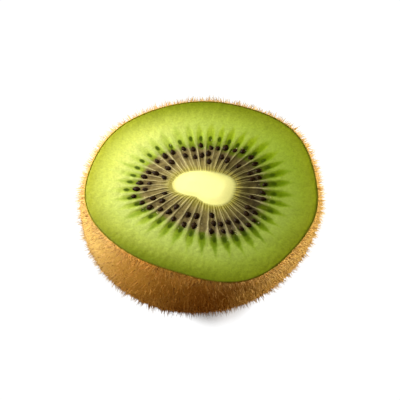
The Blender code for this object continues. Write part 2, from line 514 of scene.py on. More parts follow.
class Finish:
    """A material being wired: each method adds a node and gives its output."""

    def __init__(self, name):
        self.material = bpy.data.materials.new(name)
        self.material.use_nodes = True
        self.tree = self.material.node_tree
        self.shader = self.tree.nodes["Principled BSDF"]

    def feed(self, socket, value):
        if isinstance(value, Wire):
            self.tree.links.new(value.socket, socket)
        elif len(np.shape(value)) and len(value) == 3 and socket.type == "RGBA":
            socket.default_value = (*value, 1.0)
        else:
            socket.default_value = value

    def add(self, kind, inputs, output=0, **settings):
        node = self.tree.nodes.new(kind)
        for key, value in settings.items():
            setattr(node, key, value)
        for socket, value in inputs.items():
            self.feed(node.inputs[socket], value)
        return Wire(self, node.outputs[output])

    def surface(self, **settings):
        """Set the shader's sockets; an underscore stands for a space."""
        for key, value in settings.items():
            self.feed(self.shader.inputs[key.replace("_", " ")], value)

    def math(self, operation, *values):
        return self.add("ShaderNodeMath", dict(enumerate(values)), operation=operation)

    def mix(self, amount, a, b, blend="MIX"):
        """Colour a to colour b by amount; the sockets are the mix node's colour ones."""
        inputs = {0: amount, 6: a, 7: b}
        return self.add("ShaderNodeMix", inputs, output=2, data_type="RGBA", blend_type=blend)

    def product(self, a, b):
        """Two colours multiplied part by part."""
        return self.mix(1.0, a, b, "MULTIPLY")

    def toned(self, tint, factors, amount):
        """A colour that goes to its product with the factors by amount."""
        return self.mix(amount, tint, self.product(tint, factors))

    def object_place(self):
        return self.add("ShaderNodeTexCoord", {}, output="Object")

    def split(self, vector):
        node = self.tree.nodes.new("ShaderNodeSeparateXYZ")
        self.feed(node.inputs[0], vector)
        return [Wire(self, socket) for socket in node.outputs]

    def join(self, x, y, z):
        return self.add("ShaderNodeCombineXYZ", {0: x, 1: y, 2: z})

    def noise(self, vector, scale, detail=2.0, roughness=0.5):
        inputs = {"Vector": vector, "Scale": scale, "Detail": detail, "Roughness": roughness}
        return self.add("ShaderNodeTexNoise", inputs, output="Fac")

    def cells(self, vector, scale):
        """The distance from the nearest of many scattered points."""
        return self.add("ShaderNodeTexVoronoi", {"Vector": vector, "Scale": scale}, output="Distance")

    def chance(self, value):
        """A random share for each value."""
        return self.add("ShaderNodeTexWhiteNoise", {"W": value}, output="Value", noise_dimensions="1D")

    def attribute(self, name):
        return self.add("ShaderNodeAttribute", {}, output="Fac", attribute_name=name)

    def ramp(self, value, stops):
        """Colours along a value: stops are (place, colour) pairs in order."""
        node = self.tree.nodes.new("ShaderNodeValToRGB")
        self.feed(node.inputs[0], value)
        elements = node.color_ramp.elements
        while len(elements) < len(stops):
            elements.new(1.0)
        for element, (place, _) in zip(elements, stops):
            element.position = place
        for element, (_, tint) in zip(elements, stops):
            element.color = (*tint, 1.0)
        return Wire(self, node.outputs[0])

    def bumps(self, height, distance, strength):
        inputs = {"Height": height, "Distance": distance, "Strength": strength}
        return self.add("ShaderNodeBump", inputs)


def scaled(tint, *factors):
    """A colour with each part multiplied."""
    return tuple(part * factor for part, factor in zip(tint, factors))


# Tints over the cut face, as factors along the way out: (way, factors).
CHAMBER_GREENS = (
    (0.30, (0.26, 0.28, 0.05)),
    (0.40, (0.30, 0.36, 0.05)),
    (0.45, (0.40, 0.47, 0.07)),
    (0.50, (0.53, 0.61, 0.16)),
    (0.55, (0.70, 0.77, 0.36)),
    (0.60, (0.83, 0.88, 0.60)),
    (0.66, (0.95, 0.97, 0.85)),
    (0.76, (1.0, 1.0, 1.0)),
)
PALE_FLESH = (
    (0.40, (0.80, 0.76, 1.10)),
    (0.48, (0.95, 0.96, 1.15)),
    (0.60, (1.04, 1.04, 1.28)),
    (0.70, (1.00, 1.00, 1.05)),
)
DEEP_FLESH = PALE_FLESH + (
    (0.75, (0.92, 0.92, 0.78)),
    (0.80, (0.80, 0.79, 0.59)),
    (0.90, (0.51, 0.52, 0.17)),
    (0.96, (0.37, 0.39, 0.065)),
)
LIGHT_FLESH = PALE_FLESH + (
    (0.80, (1.01, 0.97, 0.78)),
    (0.90, (1.05, 0.93, 0.66)),
    (0.96, (1.06, 0.90, 0.38)),
)


class CutLayout:
    """Values over the cut face, from its own map: U counts the chambers and V is the way out."""

    def __init__(self, f, shape):
        self.f = f
        self.place = f.object_place()
        self.across, self.along, _ = f.split(self.place)
        u, self.way, _ = f.split(f.add("ShaderNodeUVMap", {}, uv_map="layout"))
        self.around = u * (2 * math.pi)
        chambers = float(shape.chambers)
        self.phase = u * chambers + (f.noise(self.place, 420.0) - 0.5) * 0.24
        self.cell = f.math("FLOORED_MODULO", f.math("FLOOR", self.phase), chambers)
        self.nearest = f.math("FLOORED_MODULO", f.math("ROUND", self.phase), chambers)
        self.off = self.phase.fold()

    def toward(self, peak, waves=1.0):
        """cos(waves * (turn round the fruit - peak)), peak in degrees."""
        return self.f.math("COSINE", (self.around - math.radians(peak)) * waves)

    def side(self, peak, low, high=1.0, size=1.0):
        """A patch on one side of the fruit: size towards the peak and 0 away from it, where the cosine of
        the angle between is low."""
        return self.toward(peak).smooth(low, high, 0.0, size)


def wall_cover(f, at):
    """1 on the walls and 0 in the chambers: thin lines near the core, soft and wider among the green,
    then a shoulder where they meet. Fine rays stand between them near the core."""
    way = at.way
    outer = way + (f.chance(at.cell) - 0.5) * 0.06
    outer = outer + at.side(290, 0.2, size=0.035)
    half = way.smooth(0.28, 0.42, 0.06, 0.17) + outer.smooth(0.54, 0.69, 0.0, 0.25)
    half = half + outer.smooth(0.66, 0.82, 0.0, 0.12)
    soft = way.smooth(0.26, 0.40, 0.05, 0.14)
    wall = at.off.smooth(half + soft, half - soft)
    faint = way.smooth(0.5, 0.3) * f.chance(at.nearest + 400.0)
    wall = wall * (1.0 - faint * 0.45)

    fine_phase = at.phase * 2.0 + f.chance(at.cell + 70.0) * 0.5
    reach = 0.08 + f.chance(f.math("ROUND", fine_phase) + 200.0) * 0.26
    fine = fine_phase.fold().smooth(0.2, 0.03) * way.smooth(reach, reach * 0.3, 0.0, 0.7)
    return f.math("MAXIMUM", f.math("MAXIMUM", wall, fine), way.smooth(0.66, 0.86))


def vein_cover(f, at):
    """Thin green veins that run on outwards from the chambers' tips, each to its own length."""
    reach = 0.58 + f.chance(at.cell + 600.0) * 0.2
    thin = (at.off + (reach - at.way) * 0.35).smooth(0.36, 0.5)
    amount = at.toward(90).smooth(-0.2, 0.8, 0.55, 0.3) * at.way.smooth(reach, reach - 0.14)
    return thin * at.way.smooth(0.46, 0.56) * amount


def inner_painted_shade_and_tint(f, at):
    """A factor on the walls and the jelly near the core: painted light, brighter towards the left and upper
    left where the key light comes from; a painted shadow by the core at the right; and the jelly's own
    yellower tone at the right."""
    # Painted light: brighter towards the left and upper left, where the key light comes from.
    tone = 0.94 + at.toward(170) * 0.08
    tone = tone + at.side(125, 0.3, size=0.13)
    # Painted shadow: a dusky patch just outside the core at the right.
    patch = at.way.band(0.02, 0.09, 0.12, 0.22) * at.side(12, 0.5, 0.95, 0.4)
    tone = tone * (1.0 - patch)
    yellow = (0.14 + at.toward(0) * 0.16) * at.way.smooth(0.3, 0.1)
    return f.join(tone, tone, tone * (1.0 - yellow))


def chamber_tint(f, at, look, flesh):
    """Khaki jelly round the seeds, then deep green that pales outwards. Where it turns differs round the
    core, and the jelly carries painted shade at the right, away from the key light."""
    turning = at.toward(237) * 0.05 + at.side(120, 0.2, 0.9, 0.035)
    patch = (f.noise(at.place, 650.0) - 0.5) * 0.12
    zone = at.way - (turning + patch)
    khaki = f.mix(zone.smooth(-0.02, 0.1), scaled(look.core_edge, 0.57, 0.58, 0.50), look.chamber)
    cast = zone.band(0.08, 0.18, 0.27, 0.36) * f.noise(at.place, 900.0).smooth(0.35, 0.7, 0.1, 0.6)
    khaki = f.mix(cast, khaki, look.shade)
    # Painted shade: the jelly is darker at the right, away from the key light, less so in a belt further out.
    belt = at.way.smooth(0.21, 0.27) * at.side(345, 0.2, size=0.4)
    painted_far_shade = at.toward(0).smooth(0.0, 1.0, 1.0, 0.55) * (1.0 - belt)
    khaki = f.product(khaki, f.join(painted_far_shade, painted_far_shade, painted_far_shade))
    khaki = f.product(khaki, inner_painted_shade_and_tint(f, at))

    lift = at.toward(105) * 0.088 + at.toward(5) * -0.035
    lift = lift + at.side(140, 0.6, size=0.03)
    lift = lift + (f.noise(at.place, 420.0) - 0.5) * 0.12
    lift = lift + at.side(290, 0.1, 0.9, 0.05) * at.way.smooth(0.42, 0.50)
    green = f.product(flesh, f.ramp(at.way + (lift - 0.008), CHAMBER_GREENS))
    clear = at.side(28, 0.0, 0.95, 0.65) * at.way.smooth(0.72, 0.56)
    green = f.product(green, f.join(1.0, 1.0, 1.0 - clear))
    return f.mix(zone.smooth(0.30, 0.37), khaki, green)


def body_tint(f, at, look, flesh):
    """Walls and outer flesh: khaki-cream, then the flesh's own green, olive towards the skin. How deep the
    olive is
    varies round the fruit: deepest at the top and the front left, lightest at the right; partly the flesh's
    own tone, partly painted rim shade and light. A warm painted highlight lies in the green on the upper
    left, and a milky patch at the front right."""
    # How deep the olive band is round the fruit: partly its own tone, partly painted rim shade, and painted
    # rim light at the right.
    olive = at.toward(85, 2.0) * 0.35 + at.toward(185) * 0.30
    for peak, low, size in ((280, 0.7, -0.2), (163, 0.7, -0.06), (335, 0.6, 0.12)):
        olive = olive + at.side(peak, low, size=size)
    outer = f.mix(olive + 0.62, f.ramp(at.way, LIGHT_FLESH), f.ramp(at.way, DEEP_FLESH))
    # Painted highlight: a warm, brighter patch in the green on the upper left, towards the key light.
    painted_highlight = at.side(150, 0.55, size=0.5) * at.way.band(0.48, 0.66, 0.70, 0.88)
    outer = f.toned(outer, (1.2, 1.09, 0.98), painted_highlight)
    milky = at.side(308, 0.1) * at.way.band(0.46, 0.58, 0.68, 0.86)
    outer = f.toned(outer, (1.06, 1.03, 1.32), milky)
    body = f.product(flesh, outer)
    wall = f.product(look.wall, inner_painted_shade_and_tint(f, at))
    body = f.mix((at.way + at.toward(85) * 0.045).smooth(0.44, 0.28), body, wall)
    edge = f.product(scaled(look.core_edge, 1.5, 1.54, 2.3), inner_painted_shade_and_tint(f, at))
    return f.mix(at.way.smooth(0.10, 0.0), body, edge)


def core_tint(f, at, look):
    """The pale core, yellower towards its edge, with painted shade along that edge at the right, away from
    the key light.
    """
    near = at.way.smooth(-0.16, -0.01)
    # Painted shade: duller near the edge at the right.
    clear = 1.0 - near * at.side(12, -0.1, 0.9, 0.28)
    return f.product(look.core, f.join(clear, clear * 0.985, clear * (1.0 - near * 0.14)))


def cut_grain(f, at):
    """Fine grain with a faint radial pull, as a factor round 1, and the height that goes with it."""
    radial = f.noise(f.join(at.toward(0), at.toward(90), at.way * 0.35), 42.0, 3.0)
    grain = f.noise(at.place, 2300.0, 3.0, 0.6)
    shade = (radial - 0.5) * 0.22 + (grain - 0.5) * 0.7
    shade = shade + (f.noise(at.place, 260.0) - 0.5) * 0.2
    streaks = f.noise(f.join(at.toward(0), at.toward(90), at.way * 0.8), 75.0, 3.0, 0.7)
    shade = shade + (streaks - 0.5) * at.way.band(0.02, 0.1, 0.36, 0.5) * 1.1
    shade = 1.0 + shade * at.way.smooth(-0.1, 0.1, 0.12, 1.0)
    return f.join(shade, shade, shade), grain * 0.5 + radial * 0.3


def cut_face_finish(shape, look):
    """Moist flesh with walls, chambers, a dusky tinge and painted shadow round its seeds, painted glints
    among them, painted light towards the upper left, and the pale core.
    """
    f = Finish("kiwi_cut_face")
    at = CutLayout(f, shape)
    # Painted light: the flesh goes to the brighter, yellower colour towards the upper left, where the key
    # light comes from; partly the flesh's own tone.
    toward_light = at.across * -0.87 + at.along * 0.5
    flesh = f.mix(toward_light.smooth(-0.022, 0.022), look.flesh, look.lit_side)
    fresh = at.side(55, 0.1)
    flesh = f.product(flesh, f.join(*(1.0 - fresh * loss for loss in (0.07, 0.03, 0.32))))
    tint = f.mix(wall_cover(f, at), chamber_tint(f, at, look, flesh), body_tint(f, at, look, flesh))
    tint = f.toned(tint, (0.5, 0.62, 0.25), vein_cover(f, at))
    # Round each seed the jelly goes towards the dusky shade colour: partly its own tinge, partly a painted
    # shadow.
    tint = f.mix(f.attribute("halo") * 0.55, tint, look.shade)
    buried = f.attribute("buried").smooth(0.1, 0.7, 0.0, 0.96)
    tint = f.mix(buried, tint, scaled(look.flesh, 0.14, 0.18, 0.01))
    # Painted light: the rim line is paler on the upper left, the side the key light comes from.
    rim = f.mix(at.side(155, 0.5, 0.95), look.rim, scaled(look.rim, 2.1, 1.75, 1.4))
    tint = f.mix(at.way.smooth(0.980, 0.987), tint, rim)
    inset = at.toward(335) * 0.005 + at.toward(10, 2.0) * 0.004
    tint = f.mix((at.way + inset).smooth(0.021, -0.039), tint, core_tint(f, at, look))

    shade, height = cut_grain(f, at)
    tint = f.product(tint, shade)
    # Painted glints: small pale specks among the seeds stand in for highlights on the wet jelly.
    painted_glint = f.cells(at.place, 1100.0).smooth(0.24, 0.12) * f.noise(at.place, 700.0).smooth(0.46, 0.6)
    tint = f.mix(painted_glint * at.way.band(0.22, 0.34, 0.42, 0.5) * 0.8, tint, look.wall)
    bumps = f.bumps(height, 0.12 * MM, 0.5)
    f.surface(Base_Color=tint, Roughness=0.42, Specular_IOR_Level=0.08, Normal=bumps)
    return f.material


def seed_finish(look):
    """Near-black wet seed coats, finely pitted and a little browner in places."""
    f = Finish("kiwi_seed")
    place = f.object_place()
    mottle = f.noise(place, 1500.0).smooth(0.35, 0.7)
    tint = f.mix(mottle, scaled(look.coat, 0.35, 0.35, 0.35), look.coat)
    pits = f.bumps(f.cells(place, 5200.0), 0.05 * MM, 0.4)
    f.surface(Base_Color=tint, Roughness=0.28, Specular_IOR_Level=0.05, Normal=pits)
    return f.material


def facing(f, place, peak):
    """The cosine of the angle round the fruit between a place and a peak in degrees."""
    across, along, _ = f.split(place)
    peak = math.radians(peak)
    toward = across * math.cos(peak) + along * math.sin(peak)
    return f.math("DIVIDE", toward, f.math("POWER", across * across + along * along, 0.5))


def browner(f, place, tint, top):
    """Painted light and shade on a tint: browner and darker low down and in front, where little light
    reaches, darker still in a band just under the cut in front, and paler right at the cut.
    """
    _, _, up = f.split(place)
    # Painted shade: browner and darker low down, where less light reaches.
    low = up.smooth(top - 2 * MM, top - 20 * MM)
    tint = f.toned(tint, (0.70, 0.54, 0.31), low * 0.7)
    # Painted shade: browner and darker in front, away from the strong lamps.
    tint = f.toned(tint, (0.74, 0.56, 0.30), facing(f, place, 250).smooth(0.72, 0.98))
    # Painted shade: a darker band just under the cut in front.
    close = up.smooth(top - 1.8 * MM, top - 0.3 * MM) * facing(f, place, 266).smooth(0.86, 0.98, 0.0, 0.5)
    tint = f.toned(tint, (0.4, 0.42, 0.3), close)
    # Painted light: paler right at the cut in front.
    lip = up.smooth(top - 1.1 * MM, top - 0.3 * MM) * facing(f, place, 248).smooth(0.6, 0.92)
    return f.toned(tint, (1.28, 1.34, 1.3), lip)


def skin_finish(shape, look):
    """Thin dull brown peel, mottled, with a darker and greener cut edge that is painted lighter on the upper
    left, where the key light comes from, and with painted shade low down and in front.
    """
    f = Finish("kiwi_skin")
    place = f.object_place()
    _, _, up = f.split(place)
    broad = f.noise(place, 160.0, 3.0)
    fine = f.noise(place, 1500.0, 3.0, 0.65)
    tint = f.mix((broad * 0.5 + fine * 0.5).smooth(0.35, 0.65), look.skin_dark, look.skin)
    tint = f.mix(f.cells(place, 1300.0).smooth(0.25, 0.0) * 0.12, tint, look.skin_dark)
    # Painted light: the cut edge is paler on the side towards the key light.
    lit_side = facing(f, place, 145).smooth(0.2, 0.9)
    edge = f.mix(lit_side, look.edge, scaled(look.edge, 1.9, 1.75, 1.8))
    top = FRAME_LOW.z + shape.height
    cut = up.smooth(top - 0.24 * MM, top - 0.10 * MM)
    tint = f.mix(cut, browner(f, place, tint, top), edge)
    bumps = f.bumps(fine * 0.7 + broad * 0.5, 0.25 * MM, 0.3)
    f.surface(Base_Color=tint, Roughness=0.8, Specular_IOR_Level=0.1, Normal=bumps)
    return f.material


def down_finish(shape, look):
    """Golden-tan hairs, each with its own tone. The tones differ most in front. They carry the skin's painted
    shade low down and in front; the tips are paler, partly their own tone and partly painted light; and the
    hairs at the left and right are dulled by painted shade."""
    f = Finish("kiwi_down")
    tone = f.attribute("tone")
    place = f.object_place()
    tint = f.mix(tone, look.hair_dark, look.hair)
    varied = f.mix(tone, scaled(look.hair_dark, 0.38, 0.35, 0.30), scaled(look.hair, 1.30, 1.27, 1.2))
    tint = f.mix(facing(f, place, 260).smooth(0.5, 0.92), tint, varied)
    # The tips go back towards the plain down colour: partly their own paler tone, partly painted light
    # through them that lifts them out of the painted shade.
    tip = f.attribute("along").smooth(0.2, 1.0, 0.0, 0.55)
    # Painted light and shade, as on the skin.
    browned = browner(f, place, tint, FRAME_LOW.z + shape.height)
    tint = f.mix(tip, browned, scaled(look.hair, 1.02, 0.99, 0.70))
    # Painted shade: duller at the left and right, where the side lights fall hardest.
    ends = facing(f, place, 5).smooth(0.6, 1.0) + facing(f, place, 175).smooth(0.6, 1.0)
    tint = f.toned(tint, (0.80, 0.79, 0.68), ends)
    f.surface(Base_Color=tint, Roughness=0.7, Specular_IOR_Level=0.15, IOR=1.2)
    return f.material


def scar_finish(look):
    """Dry wood with fibres and pits."""
    f = Finish("kiwi_scar")
    place = f.object_place()
    fibres = f.noise(place, 900.0, 4.0, 0.7)
    tint = f.mix(fibres.smooth(0.3, 0.65), scaled(look.wood, 0.3, 0.3, 0.3), look.wood)
    pits = f.bumps(fibres + f.cells(place, 1500.0) * 0.5, 0.3 * MM, 0.9)
    f.surface(Base_Color=tint, Roughness=0.9, Specular_IOR_Level=0.15, Normal=pits)
    return f.material


# ---------------------------------------------------------------- seeds


def seed_places(shape, seeds):
    """Phase and way out of every seed: rings with a seed in an even share of the chambers, those where
    frac(0.618 n + start) is small, at a way that swells and sinks in bells, plus a little chance."""
    random = np.random.default_rng(259)
    rings = (
        (0.335, seeds.outer_chance, 0.016, OUTER_BELLS),
        (0.215, seeds.inner_chance, 0.018, INNER_BELLS),
        (0.13, seeds.third_chance, 0.012, ()),
    )
    phases, ways = [], []
    for middle, chance, spread, bells in rings:
        phase = np.arange(shape.chambers) + 0.5 + random.uniform(-0.16, 0.16, shape.chambers)
        turn = wall_turn(shape, phase, 0.3)
        way = middle + sum((size * bump(turn, at, wide) for size, at, wide in bells), 0 * turn)
        way = way + random.normal(0, spread, shape.chambers)
        kept = (0.618 * np.arange(shape.chambers) + random.uniform()) % 1.0 < chance
        phases.append(phase[kept])
        ways.append(way[kept])
    return np.concatenate(phases), np.concatenate(ways)


def buried_places(shape):
    """Phase and way out of the seeds that lie just under the flesh, beyond the outer ring: one for each
    chamber, at 0.462 plus bells and a little chance."""
    random = np.random.default_rng(21)
    phase = np.arange(shape.chambers) + 0.5 + random.uniform(-0.08, 0.08, shape.chambers)
    turn = wall_turn(shape, phase)
    way = 0.462 + sum(size * bump(turn, at, wide) for size, at, wide in BURIED_BELLS)
    return phase, way + random.normal(0, 0.01, shape.chambers)


def outward(shape, turn):
    """Unit (x, y) along the walls at a turn."""
    core, rim = (np.stack(cut_point(shape, turn, way), -1) for way in (0.0, 1.0))
    return unit(rim - core)


def spots(shape, flat, phase, way, long_half, wide_half):
    """Soft spots on the cut: the strongest exp(-(along/long)^2 - (across/wide)^2) of all the places."""
    turn = wall_turn(shape, phase, way)
    centre = np.stack(cut_point(shape, turn, way), -1)
    axis = outward(shape, turn)
    strongest = np.zeros(flat.shape[:-1])
    for (x, y), (ax, ay) in zip(centre, axis):
        dx, dy = flat[..., 0] - x, flat[..., 1] - y
        along, across = dx * ax + dy * ay, dy * ax - dx * ay
        strongest = np.maximum(strongest, np.exp(-((along / long_half) ** 2) - (across / wide_half) ** 2))
    return strongest


def seed_rings(rows, sides):
    """A drop of length 1 along X, as rings: radius sin(pi * s^0.82)^0.75 / 2 at share s of its length."""
    s = ((1 - np.cos(np.linspace(0, math.pi, rows + 2)[1:-1])) / 2)[:, None]
    radius = np.sin(math.pi * s**0.82) ** 0.75 / 2
    around = turns(sides)
    return np.stack([s - 0.5 + 0 * around, radius * np.cos(around), radius * np.sin(around)], -1)


def seed_shapes(shape, seeds):
    """All the seeds as one mesh: each a flattened drop with its point towards the core, turned and tipped a
    little, and sunk to about half in its chamber."""
    random = np.random.default_rng(3)
    phase, way = seed_places(shape, seeds)
    count = len(phase)
    turn = wall_turn(shape, phase, way)
    x, y = cut_point(shape, turn, way)
    z = shape.height - face_drop(shape, phase, way) + 0.05 * MM
    axis = outward(shape, turn)
    heading = np.arctan2(axis[:, 1], axis[:, 0]) + random.normal(0, 0.24, count)
    pitch = random.normal(0, 0.16, count)
    size = random.uniform(0.8, 1.12, count)

    rings = seed_rings(11, 12)
    drop = np.concatenate([rings.reshape(-1, 3), [[-0.5, 0, 0]], [[0.5, 0, 0]]])
    drop = drop * np.array([seeds.length, seeds.width, seeds.thickness])
    every = drop[None] * size[:, None, None]
    tilted, up = turned(every[..., 0], every[..., 2], pitch[:, None])
    across, along = turned(tilted, every[..., 1], heading[:, None])
    points = np.stack([x[:, None] + across, y[:, None] + along, z[:, None] + up], -1)
    _, (quads, caps), _ = loft(rings, np.arange(len(rings)), drop[-2], drop[-1], 0, 1)
    shift = (np.arange(count) * len(drop))[:, None, None]
    return points.reshape(-1, 3), [(quads + shift).reshape(-1, 4), (caps + shift).reshape(-1, 3)]


# ---------------------------------------------------------------- flesh and core


def cut_face(shape, phase):
    """The cut's points at every way out and chamber phase: height - drop, with two sets of fine ripples
    that fade at its inner and outer edge."""
    ways = CUT_WAYS[:, None]
    x, y = cut_point(shape, wall_turn(shape, phase[None, :], ways), ways)
    top = np.stack([x, y, shape.height - face_drop(shape, phase[None, :], ways)], -1)
    fine = 0.03 * MM * ripples(top, 1.6 * MM, 61) + 0.04 * MM * ripples(top, 5 * MM, 62)
    top[..., 2] += fine * smooth(0.0, 0.05, ways) * smooth(1.0, 0.95, ways)
    return top


def flesh_sides(shape, turn):
    """Rings inside the peel, from near the ground to just under the cut: the belly, a peel's thickness in."""
    inside = 1 - shape.skin_thickness / (shape.cut_width / 2)
    sides = []
    for depth in (shape.height - FLESH_FLOOR, shape.height * 0.6, shape.height * 0.2, 2 * MM):
        ring = belly(shape, turn, np.full(len(turn), depth))
        ring[:, :2] *= inside * 0.999
        sides.append(ring)
    return np.stack(sides)


def flesh_shape(shape, columns):
    """The flesh as a closed skin: up its sides, over the cut and down the core's well.

    Gives its points, faces and map, the cut's own (x, y), and how many rings lie below the cut.
    """
    phase = np.linspace(0, shape.chambers, columns, endpoint=False)
    top = cut_face(shape, phase)
    sides = flesh_sides(shape, wall_turn(shape, phase))
    well = top[-1:].copy()
    well[..., 2] = shape.height - shape.plug
    # On the map the sides lie past the rim, and the well lies just inside the core.
    rows = np.concatenate([[1.06, 1.04, 1.02, 1.0], CUT_WAYS, [-0.02]])
    start = np.array([0, 0, FLESH_FLOOR])
    end = np.array([shape.core_x, shape.core_y, shape.height - shape.plug])
    made = loft(np.concatenate([sides, top, well]), rows, start, end, 1.08, -0.02)
    return *made, top[..., :2], len(sides)


def core_shape(shape, columns):
    """The core as a closed skin, from its foot up its side and over the crown: middle + reach * (outline -
    middle), at height - drop, with fine ripples on the crown."""
    turn = wall_turn(shape, np.linspace(0, shape.chambers, columns, endpoint=False), 0.0)
    edge = np.stack(cut_point(shape, turn, 0.0), -1)
    middle = np.array([shape.core_x, shape.core_y])
    foot = shape.height - shape.plug + 0.02 * MM
    reach = np.concatenate([[1.0, 1.0], np.linspace(0.98, 0.02, 30)])
    flat = middle + reach[:, None, None] * (edge - middle)
    z = shape.height - core_drop(shape, reach)[:, None] + 0 * turn
    z[0] = foot
    rings = np.concatenate([flat, z[..., None]], -1)
    rings[2:, :, 2] += 0.02 * MM * ripples(rings[2:], 2.2 * MM, 63)
    start, end = np.array([*middle, foot]), np.array([*middle, shape.height - core_drop(shape, 0.0)])
    return loft(rings, (1 - reach) * CORE_MIDDLE, start, end, CORE_MIDDLE, CORE_MIDDLE)


# ---------------------------------------------------------------- skin, stem scar and down


def skin_surface(shape, columns, rows):
    """The skin's outside from just under the lip to the flat spot: the belly, moved outwards by two sets
    of ripples that fade at both ends, and by a swell that is less in front, where the fruit is flatter."""
    turn = turns(columns)[None, :]
    reach = np.linspace(0, math.pi / 2, rows)
    below = (LIP_START + (shape.height - LIP_START) * np.sin(reach))[:, None]
    points = belly(shape, turn, below)
    lumps = 0.07 * MM * ripples(points, 5 * MM, 41) + 0.03 * MM * ripples(points, 1.4 * MM, 42)
    lumps = lumps * smooth(0.0, 0.4 * MM, below) * smooth(0.0, 4 * MM, shape.height - below)
    swell = smooth(0.0, 4 * MM, below) * smooth(0.0, 9 * MM, shape.height - below)
    lumps = lumps + 0.24 * MM * swell * (1 - 0.9 * bump(turn, 270, 16))
    from_axis = np.linalg.norm(points[..., :2], axis=-1)
    points[..., :2] *= (1 + lumps / from_axis)[..., None]
    return points


def disc(columns, radius, height):
    """A level circle: radius * (cos, sin)."""
    turn = turns(columns)
    return np.stack([radius * np.cos(turn), radius * np.sin(turn), height + 0 * turn], -1)


def lip_rings(shape, columns):
    """The peel's rounded cut edge and its inner wall: the rim moved by steps inwards and down, in peel
    thicknesses, which ripple round the fruit."""
    rim = belly(shape, turns(columns), np.zeros(columns))
    outwards = unit(rim[:, :2])
    thick = shape.skin_thickness
    wave = 1 + 0.15 * ripples(rim, 3 * MM, 43)
    rings = []
    for inward, down in LIP_STEPS:
        ring = rim.copy()
        ring[:, :2] -= outwards * (thick * inward * wave)[:, None]
        ring[:, 2] -= thick * down
        rings.append(ring)
    return np.stack(rings)


def skin_shell(shape, columns=480, rows=110):
    """The peel as a closed shell, from the scar's groove up the outside, over the lip and down the inside."""
    outside = skin_surface(shape, columns, rows)[::-1]
    steps = (
        (shape.button * 0.9, shape.groove_depth),
        ((shape.button + shape.groove) / 2, shape.groove_depth * 0.9),
        (shape.groove - 0.25 * MM, shape.groove_depth * 0.35),
        (shape.groove, 0.08 * MM),
        (shape.groove + 0.3 * MM, 0.0),
        ((shape.groove + shape.flat_spot) / 2, 0.0),
    )
    groove = np.stack([disc(columns, radius, height) for radius, height in steps])
    inner = []
    shrink = 1 - shape.skin_thickness / (shape.cut_width / 2)
    for reach in np.linspace(0.12, math.pi / 2, 12):
        ring = belly(shape, turns(columns), np.full(columns, shape.height * math.sin(reach)))
        ring[:, :2] *= shrink
        ring[:, 2] = shape.height - (shape.height - ring[:, 2]) * (1 - PEEL_FLOOR / shape.height)
        inner.append(ring)
    rings = np.concatenate([groove, outside, lip_rings(shape, columns), np.stack(inner)])
    start, end = np.array([0.0, 0.0, shape.groove_depth]), np.array([0.0, 0.0, PEEL_FLOOR])
    return loft(rings, np.linspace(0, 1, len(rings)), start, end, 0.0, 1.0)


def scar_shape(shape, columns=96):
    """The woody button as a closed skin: discs whose radius wavers by 0.03 sin(5 turn + 2) + 0.02 sin(11
    turn), raised on top by |0.05 sin(17 turn) + 0.04 sin(29 turn + 1)| mm between the cracks."""
    rings = np.stack([disc(columns, shape.button * reach, up * MM) for reach, up in SCAR_STEPS])
    turn = turns(columns)
    cracks = 0.05 * MM * np.sin(17 * turn) + 0.04 * MM * np.sin(29 * turn + 1)
    rings[1:6, :, 2] += np.abs(cracks)
    rings[:, :, :2] *= (1 + 0.03 * np.sin(5 * turn + 2) + 0.02 * np.sin(11 * turn))[None, :, None]
    start, end = np.array([0, 0, 0.4 * MM]), np.array([0, 0, 0.75 * MM])
    return loft(rings, np.linspace(0, 1, len(rings)), start, end, 0, 1)


def skin_spots(shape, tufts, near_cut, random):
    """Roots spread evenly over the skin, with the outward, sidewise and upward directions at each.

    The n-th root lies at the shares frac(0.7549 n) and frac(0.5698 n) of the skin's area, down it and
    round it, plus a little chance. Where near_cut is above 0, the area counts exp(-(depth / near_cut)^2).
    """
    grid = skin_surface(shape, 240, 150)
    grid = np.concatenate([grid, grid[:, :1]], 1)
    a, b, c = grid[:-1, :-1], grid[:-1, 1:], grid[1:, :-1]
    normal = np.cross(c - a, b - a)
    area = np.linalg.norm(normal, axis=2, keepdims=True)
    normal = normal / area
    if near_cut:
        area = area * np.exp(-(((shape.height - a[..., 2:]) / near_cut) ** 2))
    shares = np.arange(1, tufts + 1)[None, :] * np.array([[0.7548777], [0.5698403]])
    shares = (shares + random.normal(0, 0.25, (2, tufts)) / math.sqrt(tufts)) % 1.0
    cells, parts = [], []
    for taken, weight in zip(shares, (area.sum((1, 2)), area.sum((0, 2)))):
        reached = np.concatenate([[0.0], np.cumsum(weight)]) / weight.sum()
        place = np.interp(taken, reached, np.arange(len(reached)))
        cells.append(np.minimum(place.astype(int), len(weight) - 1))
        parts.append((place % 1.0)[:, None])
    cell = tuple(cells)
    root = a[cell] + parts[0] * (c - a)[cell] + parts[1] * (b - a)[cell]
    out = normal[cell]
    side = unit(np.cross(out, [0.0, 0.0, 1.0]))
    return root, out, side, np.cross(side, out)


